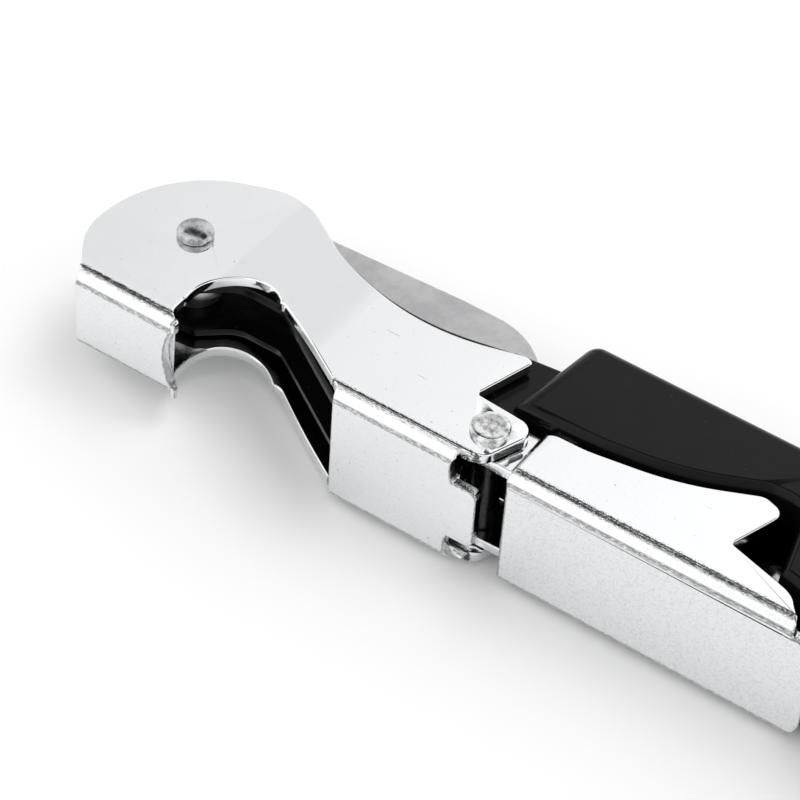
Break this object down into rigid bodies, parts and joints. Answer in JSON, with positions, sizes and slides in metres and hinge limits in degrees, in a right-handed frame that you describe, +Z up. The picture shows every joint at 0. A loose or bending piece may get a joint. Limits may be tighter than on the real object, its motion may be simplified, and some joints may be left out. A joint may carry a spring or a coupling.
{
  "type": "lever corkscrew",
  "caption": "Folding lever corkscrew lying closed: jointed channel lever with crown-cap mouth over a dark channel handle that holds a pivoting worm and a foil blade.",
  "frame": {"origin": "under the middle of the closed tool's bounding box, on the plane it lies on", "axes": "+X along the handle towards its far end, +Y towards the handle's back, +Z up through the side it shows"},
  "size_m": [0.1216, 0.0242, 0.016],
  "materials": {
    "coated_handle": "smooth gloss black coating on pressed steel",
    "plated_lever": "bright plating with faint press marks",
    "rivet_steel": "dull, peened heads",
    "worm_steel": "bright plated wire",
    "blade_steel": "satin, lightly stained"
  },
  "bodies": {
    "handle": {"handle_shell": "coated_handle", "lever_rivet": "rivet_steel", "worm_pin": "rivet_steel", "blade_washer_upper": "rivet_steel", "blade_washer_lower": "rivet_steel"},
    "first_stage": {"lever_first_stage": "plated_lever", "stage_rivet": "rivet_steel"},
    "second_stage": {"lever_second_stage": "plated_lever"},
    "worm": {"worm_screw": "worm_steel", "worm_knuckle": "worm_steel"},
    "blade": {"foil_blade": "blade_steel"}
  },
  "joints": [
    {"name": "lever_swing", "type": "hinge", "parent": "handle", "child": "first_stage", "pos_m": [-0.0514, -0.00045, 0.008], "axis": [0, 0, -1], "range_deg": [0, 180]},
    {"name": "stage_fold", "type": "hinge", "parent": "first_stage", "child": "second_stage", "pos_m": [-0.01215, -0.0072, 0.008], "axis": [0, 0, -1], "range_deg": [0, 30]},
    {"name": "worm_swing", "type": "hinge", "parent": "handle", "child": "worm", "pos_m": [-0.00225, -0.0055, 0.008], "axis": [0, 0, -1], "range_deg": [0, 93]},
    {"name": "blade_swing", "type": "hinge", "parent": "handle", "child": "blade", "pos_m": [-0.0514, -0.00045, 0.008], "axis": [0, 0, 1], "range_deg": [0, 180]}
  ],
  "couplings": [
    {"joint": "worm_swing", "follows": "lever_swing", "ratio": 0.5166}
  ]
}
